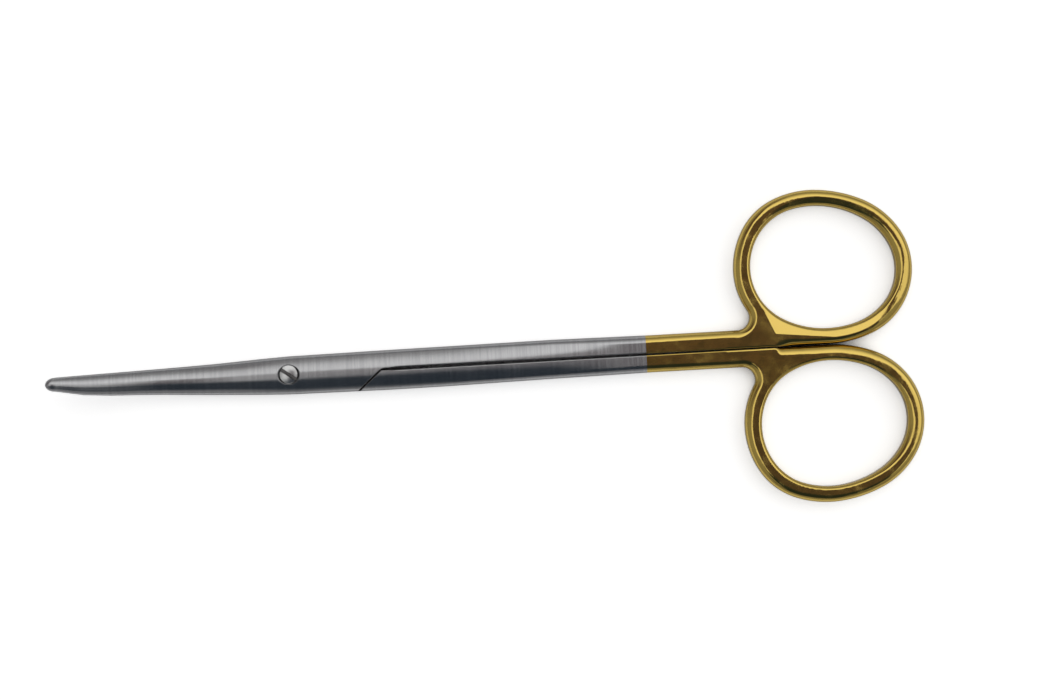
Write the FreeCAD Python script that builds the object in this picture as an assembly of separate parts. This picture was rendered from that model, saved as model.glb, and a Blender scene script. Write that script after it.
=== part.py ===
"""Curved dissecting scissors, 145 mm long, with round-banded finger rings.

Frame: +X from the pivot to the rings, +Y to the thumb ring's side, +Z up, millimetres.
The origin is on the pivot axis, in the plane that the joint lies on.
The thumb half is the upper one at the joint, and the finger half is the lower one.
"""
import FreeCAD
import Part
import math
import os

from FreeCAD import Rotation, Vector

# Reach of the pair in plan, from the pivot axis
tip_reach = 39.4
lap_reach = 17.0
neck_reach = 72.5

shank_start = 26.0
shank_middle = 44.0
shank_end = 60.0

blade_root_reach = 12.0
blade_mid_reach = 21.5
blade_end_reach = tip_reach - 5.2
nose_length = 1.6

# Width of the closed pair
joint_width = 6.35
lap_width = 6.65
shank_width = 6.50
neck_width = 6.20
blade_root_width = 5.20
blade_mid_width = 4.30
blade_end_width = 3.20
tip_width = 2.35

# Thickness of the closed pair
joint_thickness = 4.2
shank_thickness = 3.9
ring_thickness = 3.4
blade_root_thickness = 3.9
blade_mid_thickness = 3.3
blade_end_thickness = 2.5
tip_thickness = 1.9

# Middle line of the pair, to the thumb side
joint_offset = -0.18
neck_offset = 0.05
blade_end_offset = 0.16
tip_offset = 0.48

# How far each station between two named ones has gone towards the next
flare_share = 0.5
blade_mid_shift = 0.4
shank_start_thinning = 0.3
shank_start_shift = 0.2
shank_middle_flank = 0.5
shank_end_thinning = 0.6

# Section of the pair: an upright flank, a round corner and a crowned top
flank_height = 0.5
neck_flank_height = 0.9
joint_corner_share = 0.70
shank_corner_share = 0.82
neck_corner_share = 0.92
wall_edge_radius = 0.20

# Upward curve of the blades
flat_radius = 8.0
curve_radius = 76.0

# Running clearance of each half from the parting surface
lap_clearance = 0.02
blade_clearance = 0.06

# Gap between the shanks, and the diagonal step where each comes to full thickness
wall_gap_at_step = 0.44
wall_gap_at_neck = 0.22
ring_touch_gap = 0.12
step_reach = 15.4
step_angle = 41.0
step_round = 2.0
step_gap = 0.30

# Hollow grind on the inner face of each blade
hollow_depth = 0.10
hollow_radius = 4.5
hollow_start = 10.0
hollow_end = tip_reach - 5.4

# Cutting-edge inserts
insert_width = 1.2
insert_thickness = 0.55
insert_start = 12.0
insert_end = tip_reach - 1.2

# Rings
band_width = 2.72
band_round = 1.25
hole_round = 1.0
rim_flat_count = 4
hole_flat_count = 3
neck_radius = 2.1
ring_square = 0.0113
outer_arc_count = 5
hole_arc_count = 6
thumb_ring_reach = 89.46
thumb_ring_length = 24.2
thumb_ring_width = 20.05
thumb_ring_tilt = -9.4
thumb_ring_egg = -0.039
finger_ring_reach = 90.03
finger_ring_length = 24.3
finger_ring_width = 20.6
finger_ring_tilt = -5.1
finger_ring_egg = -0.058

# Pivot screw
shaft_radius = 1.0
head_radius = 1.56
head_depth = 0.85
head_dome = 0.16
head_edge = 0.10
head_clearance = 0.07
shaft_clearance = 0.04
thread_clearance = 0.015
slot_width = 0.58
slot_depth = 0.50
slot_angle = -35.3
seat_break = 0.12

# Fineness of the forms that are built of short steps
blade_step_count = 7
nose_step_count = 4
nose_sweep_angle = 1.45

# Worked out from the sizes above
parting_height = joint_thickness / 2
far_out = tip_reach + 20
far_up = 2 * joint_thickness + 30
far_down = 20.0
far_side = 20.0
bowl_rim = tip_reach + 6
UP = Vector(0, 0, 1)
thumb_ring = {"reach": thumb_ring_reach, "length": thumb_ring_length, "width": thumb_ring_width,
              "tilt": thumb_ring_tilt, "egg": thumb_ring_egg}
finger_ring = {"reach": finger_ring_reach, "length": finger_ring_length, "width": finger_ring_width,
               "tilt": finger_ring_tilt, "egg": finger_ring_egg}


def bisect(function, low, high):
    """The root of a function that changes sign between low and high."""
    sign_low = function(low) > 0
    for _ in range(60):
        middle = (low + high) / 2
        if (function(middle) > 0) == sign_low:
            low = middle
        else:
            high = middle
    return (low + high) / 2


def blend(start, end, share):
    return start + (end - start) * share


def line(start, end):
    return Part.LineSegment(start, end).toShape()


def block(x_low, x_high, y_low, y_high, z_low, z_high):
    corner = Vector(x_low, y_low, z_low)
    return Part.makeBox(x_high - x_low, y_high - y_low, z_high - z_low, corner)


def prism(edges, z_low=-far_down, z_high=far_up):
    """An upright solid on a plan outline given as a ring of edges."""
    face = Part.Face(Part.Wire(edges))
    solid = face.extrude(Vector(0, 0, z_high - z_low))
    solid.translate(Vector(0, 0, z_low))
    return solid


def outline(points):
    """Straight edges through the points and back to the first."""
    ends = points[1:] + points[:1]
    return [line(start, end) for start, end in zip(points, ends)]


def mirrored(shape):
    """The same form on the other side of the middle plane, seen from above."""
    return shape.mirror(Vector(0, 0, 0), Vector(0, 1, 0))


# Sections


def crown(half_width, half_height, flank, corner_share):
    """Corner radius, corner centre and crown radius of a section, from its own centre.

    The corner arc touches the upright flank and the crown arc. The crown peaks on the middle line.
    """
    rise = half_height - flank
    corner = corner_share * min(rise, half_width)
    run = half_width - corner
    crown_radius = (run ** 2 + rise ** 2 - corner ** 2) / (2 * (rise - corner))
    return corner, run, crown_radius


def meeting_point(half_height, flank, corner, run, crown_radius):
    """Where the corner arc runs into the crown arc, and the middle of the corner arc."""
    crown_z = half_height - crown_radius
    lean = math.atan2(run, flank - crown_z)
    meet = (crown_radius * math.sin(lean), crown_z + crown_radius * math.cos(lean))
    half_turn = (math.pi / 2 + lean) / 2
    bend = (run + corner * math.sin(half_turn), flank + corner * math.cos(half_turn))
    return meet, bend


def pair_section(half_width, half_height, flank, corner_share):
    """The closed pair's oval section in its own plane, as (across, up) points for eight edges."""
    corner, run, crown_radius = crown(half_width, half_height, flank, corner_share)
    meet, bend = meeting_point(half_height, flank, corner, run, crown_radius)
    side = [(half_width, -flank), (half_width, 0), (half_width, flank)]
    bend_top = [(half_width, flank), bend, meet]
    top = [meet, (0, half_height), (-meet[0], meet[1])]
    bend_left = [(-meet[0], meet[1]), (-bend[0], bend[1]), (-half_width, flank)]
    upper = [side, bend_top, top, bend_left]
    lower = [[(-y, -z) for y, z in stretch] for stretch in upper]
    return upper + lower


def corner_stretches(run, flank, corner, lean):
    """The corner arc from the upright flank to its lean from the vertical, in equal short arcs."""
    def place(turn):
        return run + corner * math.cos(turn), flank + corner * math.sin(turn)

    sweep = math.pi / 2 - lean
    turns = [sweep * step / (2 * rim_flat_count) for step in range(2 * rim_flat_count + 1)]
    return [[place(turn) for turn in turns[first:first + 3]] for first in range(0, 2 * rim_flat_count, 2)]


def both_sides(side, upper, inner):
    lower = [[(y, -z) for y, z in reversed(stretch)] for stretch in reversed(upper)]
    return [side] + upper + [inner] + lower


def half_section(wall, half_width, half_height, flank, corner_share):
    """One shank's section about the pair's middle: a flat inner wall and half of the pair's oval."""
    corner, run, crown_radius = crown(half_width, half_height, flank, corner_share)
    crown_z = half_height - crown_radius
    meet_lean = math.atan2(run, flank - crown_z)
    edge = wall_edge_radius
    edge_y = wall + edge
    edge_z = crown_z + math.sqrt((crown_radius - edge) ** 2 - edge_y ** 2)
    edge_lean = math.atan2(edge_y, edge_z - crown_z)

    def on_crown(lean):
        return crown_radius * math.sin(lean), crown_z + crown_radius * math.cos(lean)

    half_turn = (edge_lean - math.pi / 2) / 2
    edge_bend = (edge_y + edge * math.sin(half_turn), edge_z + edge * math.cos(half_turn))
    upper = corner_stretches(run, flank, corner, meet_lean) + [
        [on_crown(meet_lean), on_crown((meet_lean + edge_lean) / 2), on_crown(edge_lean)],
        [on_crown(edge_lean), edge_bend, (wall, edge_z)],
    ]
    side = [(half_width, -flank), (half_width, 0), (half_width, flank)]
    inner = [(wall, edge_z), (wall, 0), (wall, -edge_z)]
    return both_sides(side, upper, inner)


def rim_levels(radius, flat_count):
    """Inset and height above the flank of each level of a rim that is rounded in equal flats."""
    turns = [math.pi / 2 * step / flat_count for step in range(flat_count + 1)]
    return [(radius * (1 - math.cos(turn)), radius * math.sin(turn)) for turn in turns]


def straight(start, end):
    return [start, ((start[0] + end[0]) / 2, (start[1] + end[1]) / 2), end]


def band_section(wall, half_width):
    """The shank's section where it runs into the ring's web: flat on top, its rim in flats."""
    flank = ring_thickness / 2 - band_round
    rim = [(half_width - inset, flank + rise) for inset, rise in rim_levels(band_round, rim_flat_count)]
    edge_foot = (wall, rim[-2][1])
    edge_top = (wall + wall_edge_radius, rim[-1][1])
    points = rim + [edge_top, edge_foot]
    upper = [straight(start, end) for start, end in zip(points, points[1:])]
    side = straight((half_width, -flank), (half_width, flank))
    inner = straight(edge_foot, (wall, -edge_foot[1]))
    return both_sides(side, upper, inner)


def section_wire(stretches, centre, across, up):
    """Puts a section's stretches in space: straight where the middle point is in line, else arcs."""
    edges = []
    for stretch in stretches:
        start, middle, end = [centre + across * y + up * z for y, z in stretch]
        if (middle - start).cross(end - start).Length < 1e-9:
            edges.append(line(start, end))
        else:
            edges.append(Part.Arc(start, middle, end).toShape())
    return Part.Wire(edges)


# The closed pair as one form, from the tips to the end of the lap


def curve_place(reach):
    """Middle height and lean of the parting surface at a reach from the pivot, on the blade side."""
    if reach <= flat_radius:
        return parting_height, 0.0
    lean = math.asin((reach - flat_radius) / curve_radius)
    return parting_height + curve_radius * (1 - math.cos(lean)), lean


def pair_rows():
    """Reach (negative towards the tips), width, thickness and middle line of the closed pair."""
    nose_start = -(tip_reach - nose_length)
    mid_offset = blend(joint_offset, blade_end_offset, blade_mid_shift)
    return [
        (lap_reach, lap_width, joint_thickness, joint_offset),
        (flat_radius, blend(joint_width, lap_width, flare_share), joint_thickness, joint_offset),
        (0.0, joint_width, joint_thickness, joint_offset),
        (-blade_root_reach, blade_root_width, blade_root_thickness, joint_offset),
        (-blade_mid_reach, blade_mid_width, blade_mid_thickness, mid_offset),
        (-blade_end_reach, blade_end_width, blade_end_thickness, blade_end_offset),
        (nose_start, tip_width, tip_thickness, tip_offset),
    ]


def smooth_value(rows, column, reach):
    """A column's value at a reach, on a smooth curve through the rows."""
    places = [row[0] for row in rows]
    values = [row[column] for row in rows]
    steps = [(b - a) / (q - p) for p, q, a, b in zip(places, places[1:], values, values[1:])]
    slopes = [steps[0]] + [(a + b) / 2 if a * b > 0 else 0 for a, b in zip(steps, steps[1:])] + [steps[-1]]
    span = max(index for index in range(len(places) - 1) if reach <= places[index])
    run = places[span + 1] - places[span]
    share = (reach - places[span]) / run
    rise = values[span + 1] - values[span]
    lean_start = slopes[span] * run - rise
    lean_end = rise - slopes[span + 1] * run
    bow = share * (1 - share) * (lean_start * (1 - share) + lean_end * share)
    return values[span] + rise * share + bow


def pair_stations():
    """Stations of the closed pair: even steps down to the nose, then the nose's quarter oval."""
    rows = pair_rows()
    nose_start = rows[-1][0]
    straight_run = [lap_reach, flat_radius, 0.0, -flat_radius / 2, -flat_radius]
    curved_run = [blend(-flat_radius, nose_start, (step + 1) / blade_step_count)
                  for step in range(blade_step_count)]
    stations = []
    for reach in straight_run + curved_run:
        width, thickness, offset = [smooth_value(rows, column, reach) for column in (1, 2, 3)]
        stations.append((reach, width, thickness, offset))
    for step in range(1, nose_step_count + 1):
        turn = nose_sweep_angle * step / nose_step_count
        share = math.cos(turn)
        reach = nose_start - nose_length * math.sin(turn) / math.sin(nose_sweep_angle)
        stations.append((reach, tip_width * share, tip_thickness * share, tip_offset))
    return stations


def closed_pair():
    wires = []
    for reach, width, thickness, offset in pair_stations():
        height, lean = curve_place(-reach)
        flank = flank_height / 2 * thickness / joint_thickness
        stretches = pair_section(width / 2, thickness / 2, flank, joint_corner_share)
        centre = Vector(reach, offset, height)
        up = Vector(math.sin(lean), 0, math.cos(lean))
        wires.append(section_wire(stretches, centre, Vector(0, 1, 0), up))
    return Part.makeLoft(wires, True, True)


# The parting surface: a disc about the pivot that turns up into a bowl under the blades


def parting_profile(clearance, side):
    """The profile's straight run and its arc, in the plane of the pivot axis and +Y."""
    def place(reach):
        height, lean = curve_place(reach)
        share = max(reach - flat_radius, 0) / curve_radius
        lift = clearance * side
        return Vector(0, reach - lift * share, height + lift * math.cos(lean))

    middle = (flat_radius + bowl_rim) / 2
    straight = Part.LineSegment(Vector(0, 0, place(0).z), place(flat_radius)).toShape()
    arc = Part.Arc(place(flat_radius), place(middle), place(bowl_rim)).toShape()
    return straight, arc, place(0), place(bowl_rim)


def parting_tool(clearance, side):
    """Everything on one side of the parting surface: side 1 is above it and side -1 below."""
    straight, arc, start, end = parting_profile(clearance, side)
    limit = parting_height + far_up * side
    rim = Vector(0, end.y, limit)
    axis_point = Vector(0, 0, limit)
    face = Part.Face(Part.Wire([
        straight,
        arc,
        line(end, rim),
        line(rim, axis_point),
        line(axis_point, start),
    ]))
    bowl = face.revolve(Vector(0, 0, 0), UP, 180)
    z_low = min(start.z, limit)
    z_high = max(start.z, limit)
    return bowl.fuse(block(0, far_out, -end.y, end.y, z_low, z_high)).removeSplitter()


def hollow_tool(side):
    """A slender ring segment that grinds the inner face of a blade hollow. Side 1 is the upper blade."""
    ring_radius = curve_radius + side * (hollow_radius - hollow_depth - blade_clearance)
    centre = Vector(-flat_radius, 0, parting_height + curve_radius)
    ring = Part.makeTorus(ring_radius, hollow_radius, centre, Vector(0, 1, 0))
    return ring.common(block(-hollow_end, -hollow_start, -far_side, far_side, -far_down, far_up))


# Plan regions at the joint


def wall_place(reach):
    """Half the gap between the shanks' inner walls."""
    share = (reach - lap_reach) / (neck_reach - lap_reach)
    return blend(wall_gap_at_step, wall_gap_at_neck, share) / 2


def lap_region():
    """Plan of the half that covers the joint: its far edge is the shank's wall and the diagonal step."""
    wall = wall_place(lap_reach)
    angle = math.radians(step_angle)
    tangent = step_round * math.tan(angle / 2)
    on_wall = Vector(step_reach + tangent, wall, 0)
    slope = Vector(-math.cos(angle), -math.sin(angle), 0)
    on_slope = Vector(step_reach, wall, 0) + slope * tangent
    half = Vector(math.sin(angle / 2), -math.cos(angle / 2), 0)
    centre = on_wall + Vector(0, -step_round, 0)
    bend = centre - half * step_round
    low = Vector(step_reach, wall, 0) + slope * ((far_side + wall) / math.sin(angle))
    return [
        line(Vector(lap_reach, wall, 0), on_wall),
        Part.Arc(on_wall, bend, on_slope).toShape(),
        line(on_slope, low),
        line(low, Vector(-far_out, -far_side, 0)),
        line(Vector(-far_out, -far_side, 0), Vector(-far_out, far_side, 0)),
        line(Vector(-far_out, far_side, 0), Vector(lap_reach, far_side, 0)),
        line(Vector(lap_reach, far_side, 0), Vector(lap_reach, wall, 0)),
    ]


def full_region():
    """Plan of a half where it has its full thickness, clear of the other half's lap by the step gap."""
    wall = wall_place(lap_reach)
    angle = math.radians(step_angle)
    corner_x = step_reach + step_gap / math.sin(angle) - 2 * wall / math.tan(angle)
    top_x = corner_x - (far_side - wall) / math.tan(angle)
    return outline([
        Vector(lap_reach, wall, 0),
        Vector(lap_reach, far_side, 0),
        Vector(top_x, far_side, 0),
        Vector(corner_x, wall, 0),
    ])


# Shank, and the plate that the ring and its web are cut from


def shank_sections(side):
    """Reach, middle line and section of one shank at its stations."""
    start_thickness = blend(joint_thickness, shank_thickness, shank_start_thinning)
    start_offset = blend(joint_offset, neck_offset, shank_start_shift)
    middle_flank = blend(flank_height, neck_flank_height, shank_middle_flank)
    end_thickness = blend(shank_thickness, ring_thickness, shank_end_thinning)
    rows = [
        (lap_reach, lap_width, joint_thickness, joint_offset, flank_height, joint_corner_share),
        (shank_start, lap_width, start_thickness, start_offset, flank_height, joint_corner_share),
        (shank_middle, shank_width, shank_thickness, neck_offset, middle_flank, shank_corner_share),
        (shank_end, neck_width, end_thickness, neck_offset, neck_flank_height, neck_corner_share),
    ]
    sections = []
    for reach, width, thickness, offset, flank, share in rows:
        middle = offset * side
        wall = wall_place(reach) - middle
        section = half_section(wall, width / 2, thickness / 2, flank / 2, share)
        sections.append((reach, middle, section))
    middle = neck_offset * side
    wall = wall_place(neck_reach) - middle
    sections.append((neck_reach, middle, band_section(wall, neck_width / 2)))
    return sections


def shank(side):
    wires = []
    for reach, middle, section in shank_sections(side):
        centre = Vector(reach, middle, parting_height)
        wires.append(section_wire(section, centre, Vector(0, 1, 0), UP))
    return Part.makeLoft(wires, True, True)


def oval_offset(ring, grow, turn):
    """A point of the ring's egg-shaped oval from its centre. grow widens it by the band."""
    long_half = ring["length"] / 2 + grow
    short_half = ring["width"] / 2 + grow
    along = (math.cos(turn) - ring_square * math.cos(3 * turn)) / (1 - ring_square)
    across = (math.sin(turn) + ring_square * math.sin(3 * turn)) / (1 - ring_square)
    point = Vector(long_half * along, short_half * across * (1 + ring["egg"] * along), 0)
    return Rotation(UP, ring["tilt"]).multVec(point)


def ring_centre(ring):
    """The ring's outer edge comes down to half the touching gap from the middle plane."""
    count = 720
    lowest = min(oval_offset(ring, band_width, 2 * math.pi * step / count).y for step in range(count))
    return Vector(ring["reach"], ring_touch_gap / 2 - lowest, 0)


def oval_slope(ring, grow, turn):
    small = 1e-4
    ahead = oval_offset(ring, grow, turn + small)
    behind = oval_offset(ring, grow, turn - small)
    return (ahead - behind) * (1 / (2 * small))


def arc_from(start, heading, end):
    """Start, middle, end and centre of the arc that leaves start along heading and comes to end."""
    chord = end - start
    along = chord * (1 / chord.Length)
    aside = (heading - along * heading.dot(along)).normalize()
    angle = math.acos(heading.dot(along))
    radius = chord.Length / (2 * math.sin(angle))
    centre = start + chord * 0.5 - aside * (radius * math.cos(angle))
    return start, centre + aside * radius, end, centre


def oval_arcs(ring, centre, grow, first_turn, last_turn, spans):
    """The oval as pairs of tangent arcs."""
    arcs = []
    turns = [blend(first_turn, last_turn, step / spans) for step in range(spans + 1)]
    points = [centre + oval_offset(ring, grow, turn) for turn in turns]
    headings = [oval_slope(ring, grow, turn).normalize() for turn in turns]
    for start, end, leave, arrive in zip(points, points[1:], headings, headings[1:]):
        run = end - start
        spread = 1 - leave.dot(arrive)
        reach = run.dot(leave + arrive)
        handle = (math.sqrt(reach ** 2 + 2 * spread * run.dot(run)) - reach) / (2 * spread)
        joint = (start + end + (leave - arrive) * handle) * 0.5
        arcs.append(arc_from(start, leave, joint))
        heading = ((end - arrive * handle) - joint).normalize()
        arcs.append(arc_from(joint, heading, end))
    return arcs


def inset_arc(arc, inset, height):
    """The arc moved towards its centre by the inset and lifted to a height."""
    centre = arc[3]
    points = [point + (centre - point).normalize() * inset for point in arc[:3]]
    lift = Vector(0, 0, height)
    return Part.Arc(*[point + lift for point in points]).toShape()


def band_arcs(ring, outer_edge):
    """Arcs of the ring's outer oval from the wall to the neck, and the neck's hollow arc."""
    centre = ring_centre(ring)
    foot = Vector(neck_reach, wall_place(neck_reach), 0)

    def wall_touch(turn):
        run = centre + oval_offset(ring, band_width, turn) - foot
        return run.cross(oval_slope(ring, band_width, turn)).z

    def outward(turn):
        slope = oval_slope(ring, band_width, turn)
        return Vector(slope.y, -slope.x, 0).normalize()

    def neck_centre(turn):
        return centre + oval_offset(ring, band_width, turn) + outward(turn) * neck_radius

    wall_turn = bisect(wall_touch, -math.pi / 2 - 0.5, -math.pi / 2 + 0.6)
    neck_turn = bisect(lambda turn: neck_centre(turn).y - outer_edge - neck_radius,
                       math.pi * 0.9, math.pi * 1.4)
    oval = oval_arcs(ring, centre, band_width, wall_turn, neck_turn, outer_arc_count)
    bend_centre = neck_centre(neck_turn)
    start = oval[-1][2]
    end = Vector(bend_centre.x, outer_edge, 0)
    toward = (start + end - bend_centre * 2).normalize()
    neck = (start, bend_centre + toward * neck_radius, end, bend_centre)
    return oval, neck


def band_wire(oval, neck, inset, wall_inset, height):
    """Outline of ring and web at one height: wall, oval, neck, the shank's outer edge and its end."""
    edges = [inset_arc(arc, inset, height) for arc in oval]
    neck_edge = inset_arc(neck, -inset, height)
    foot = Vector(neck_reach, wall_place(neck_reach) + wall_inset, height)
    shoulder = Vector(neck_reach, neck[2].y - inset, height)
    start = edges[0].Vertexes[0].Point
    on_shank = neck_edge.Vertexes[-1].Point
    return Part.Wire([line(foot, start)] + edges + [
        neck_edge,
        line(on_shank, shoulder),
        line(shoulder, foot),
    ])


def rounded_plate(wire_at, radius, flat_count):
    """A plate between the ring's two faces, with both rims rounded. wire_at gives its outline."""
    flank = ring_thickness / 2 - radius
    levels = [(inset, flank + rise) for inset, rise in rim_levels(radius, flat_count)]
    down = [(inset, -height) for inset, height in reversed(levels)]
    wires = [wire_at(inset, parting_height + height) for inset, height in down + levels]
    return Part.makeLoft(wires, True, True)


def ring_hole(ring):
    """What the finger goes through, flared towards both faces."""
    arcs = oval_arcs(ring, ring_centre(ring), 0, 0, 2 * math.pi, hole_arc_count)

    def wire_at(inset, height):
        return Part.Wire([inset_arc(arc, -inset, height) for arc in arcs])

    return rounded_plate(wire_at, hole_round, hole_flat_count)


def ring_plate(ring, outer_edge):
    oval, neck = band_arcs(ring, outer_edge)

    def wire_at(inset, height):
        wall_inset = wall_edge_radius if inset > band_round * 0.999 else 0
        return band_wire(oval, neck, inset, wall_inset, height)

    return rounded_plate(wire_at, band_round, rim_flat_count).cut(ring_hole(ring))


# Pivot screw and its seat


def screw_profile(grow_shaft, grow_head, bottom):
    """Shaft, cone and head edge of the screw, grown for a seat where asked."""
    neck_z = joint_thickness - head_depth
    shaft = shaft_radius + grow_shaft
    head = head_radius + grow_head
    return [
        Vector(0, 0, bottom),
        Vector(shaft, 0, bottom),
        Vector(shaft, 0, neck_z - (head - shaft)),
        Vector(head, 0, neck_z),
    ]


def pivot_screw():
    crest = joint_thickness
    rim = crest - head_dome
    edge = Vector(head_radius, 0, rim - head_edge)
    lip = Vector(head_radius - head_edge, 0, rim)
    crown_point = Vector(0, 0, crest)
    dome_radius = (lip.x ** 2 + head_dome ** 2) / (2 * head_dome)
    lean = math.asin(lip.x / dome_radius) / 2
    middle = Vector(dome_radius * math.sin(lean), 0, crest - dome_radius * (1 - math.cos(lean)))
    points = screw_profile(0, 0, 0) + [edge, lip]
    edges = [line(start, end) for start, end in zip(points, points[1:])]
    edges.append(Part.Arc(lip, middle, crown_point).toShape())
    edges.append(line(crown_point, points[0]))
    body = Part.Face(Part.Wire(edges)).revolve(Vector(0, 0, 0), UP, 360)
    slot = block(-far_side, far_side, -slot_width / 2, slot_width / 2, crest - slot_depth, far_up)
    slot.rotate(Vector(0, 0, 0), UP, slot_angle)
    return body.cut(slot)


def screw_seat(grow_shaft):
    """What is cut from the halves: shaft hole, cone, head recess and the recess's broken edge."""
    head = head_radius + head_clearance
    break_z = joint_thickness - head_dome - seat_break
    rise = far_up - break_z
    points = screw_profile(grow_shaft, head_clearance, -far_down) + [
        Vector(head, 0, break_z),
        Vector(head + rise, 0, far_up),
        Vector(0, 0, far_up),
    ]
    return Part.Face(Part.Wire(outline(points))).revolve(Vector(0, 0, 0), UP, 360)


# The pieces


def insert_region(edge_side):
    """Plan strip along a blade's cutting edge, from the blade's root to just short of the tip."""
    root_edge = blade_root_width / 2 + joint_offset * edge_side
    end_edge = tip_width / 2 + tip_offset * edge_side
    strip = outline([
        Vector(-insert_start, root_edge - insert_width, 0),
        Vector(-insert_start, far_side, 0),
        Vector(-insert_end, far_side, 0),
        Vector(-insert_end, end_edge - insert_width, 0),
    ])
    return prism(strip)


def blade_and_lap(pair, height_side):
    """The part of one half from the tip to the end of the lap. Height side 1 is the upper half."""
    region = prism(lap_region())
    full = prism(full_region())
    if height_side < 0:
        region = mirrored(region)
        full = mirrored(full)
    lap_tool = parting_tool(lap_clearance, height_side)
    blade_tool = parting_tool(blade_clearance, height_side)
    blade_zone = block(-far_out, -flat_radius, -far_side, far_side, -far_down, far_up)
    joint_zone = block(-flat_radius, lap_reach, -far_side, far_side, -far_down, far_up)
    tool = blade_tool.common(blade_zone).fuse(lap_tool.common(joint_zone))
    layer = region.common(tool)
    return pair.common(layer.fuse(full)).cut(hollow_tool(height_side))


def split_insert(piece, height_side):
    """Parts the cutting-edge insert from its blade."""
    strip = insert_region(height_side)
    if height_side < 0:
        strip = mirrored(strip)
    behind = parting_tool(blade_clearance + insert_thickness, height_side)
    pocket = strip.cut(behind)
    return piece.cut(pocket), piece.common(pocket)


def one_solid(shape):
    solids = shape.Solids
    if len(solids) != 1:
        raise ValueError("expected one solid, found %d" % len(solids))
    return solids[0]


def half(pair, height_side, ring):
    """One forged half and its insert. The lower half's handle is the upper's, mirrored."""
    outer_edge = neck_width / 2 + neck_offset * height_side
    handle = shank(height_side).fuse(ring_plate(ring, outer_edge))
    if height_side < 0:
        handle = mirrored(handle)
    forged = blade_and_lap(pair, height_side).fuse(handle)
    seat = screw_seat(shaft_clearance if height_side > 0 else thread_clearance)
    forged = forged.cut(seat)
    blade, insert = split_insert(forged, height_side)
    return one_solid(blade.removeSplitter()), one_solid(insert)


def build():
    pair = closed_pair()
    thumb_half, thumb_insert = half(pair, 1, thumb_ring)
    finger_half, finger_insert = half(pair, -1, finger_ring)
    return {
        "thumb_half": thumb_half,
        "finger_half": finger_half,
        "thumb_blade_insert": thumb_insert,
        "finger_blade_insert": finger_insert,
        "pivot_screw": one_solid(pivot_screw()),
    }


os.makedirs("parts", exist_ok=True)
pieces = build()
for name, shape in pieces.items():
    shape.exportStep("parts/%s.step" % name)
    box = shape.BoundBox
    print("%-20s %9.2f mm3  x %.2f..%.2f  y %.2f..%.2f  z %.2f..%.2f" % (
        name, shape.Volume, box.XMin, box.XMax, box.YMin, box.YMax, box.ZMin, box.ZMax))
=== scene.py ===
import bmesh
import bpy
import math
import numpy as np
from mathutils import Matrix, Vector
from mathutils.geometry import delaunay_2d_cdt


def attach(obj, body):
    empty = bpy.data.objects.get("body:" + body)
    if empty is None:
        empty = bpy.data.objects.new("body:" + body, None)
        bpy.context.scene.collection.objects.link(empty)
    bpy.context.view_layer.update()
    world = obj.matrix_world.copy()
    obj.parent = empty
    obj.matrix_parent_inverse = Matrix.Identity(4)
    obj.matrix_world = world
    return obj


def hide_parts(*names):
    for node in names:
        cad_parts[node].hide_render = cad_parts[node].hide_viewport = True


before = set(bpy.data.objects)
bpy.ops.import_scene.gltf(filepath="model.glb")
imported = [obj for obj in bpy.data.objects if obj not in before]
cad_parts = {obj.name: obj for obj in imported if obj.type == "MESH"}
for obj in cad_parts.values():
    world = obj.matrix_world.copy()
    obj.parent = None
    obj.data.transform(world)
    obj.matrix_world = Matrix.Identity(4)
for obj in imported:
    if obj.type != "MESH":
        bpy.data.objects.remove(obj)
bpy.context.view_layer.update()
scene = bpy.context.scene

MM = 0.001


# Form of the closed pair, in millimetres: the same sizes as the solids


# Reaches along the pair, measured from the pivot
TIP_REACH = 39.4
LAP_REACH = 17.0
NECK_REACH = 72.5
PLATING_START = 59.35
NOSE_LENGTH = 1.6
NOSE_SWEEP = 1.45

# Reach, width, thickness, middle line, flank height, corner share
PAIR_ROWS = [
    (-37.8, 2.35, 1.9, 0.48, 0.226, 0.70),
    (-34.2, 3.20, 2.5, 0.16, 0.298, 0.70),
    (-21.5, 4.30, 3.3, -0.044, 0.393, 0.70),
    (-12.0, 5.20, 3.9, -0.18, 0.464, 0.70),
    (0.0, 6.35, 4.2, -0.18, 0.50, 0.70),
    (8.0, 6.50, 4.2, -0.18, 0.50, 0.70),
    (17.0, 6.65, 4.2, -0.18, 0.50, 0.70),
]
SHANK_ROWS = [
    (17.0, 6.65, 4.2, -0.18, 0.50, 0.70),
    (26.0, 6.65, 4.11, -0.134, 0.50, 0.70),
    (44.0, 6.50, 3.9, 0.05, 0.70, 0.82),
    (57.5, 6.25, 3.65, 0.05, 0.87, 0.985),
    (60.0, 6.20, 3.6, 0.05, 0.90, 0.985),
    (72.5, 6.20, 3.4, 0.05, 0.90, 0.9985),
]
TABLE_SIZE = 4477

# The parting surface: flat within a radius of the pivot, then a bowl
MID_HEIGHT = 2.1
FLAT_RADIUS = 8.0
CURVE_RADIUS = 76.0
BOWL_LIMIT = 0.9
LAP_CLEARANCE = 0.02
BLADE_CLEARANCE = 0.06

# The wall between the shanks
WALL_ROUND = 0.2
WALL_GAP_AT_STEP = 0.44
WALL_GAP_AT_NECK = 0.22

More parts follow.
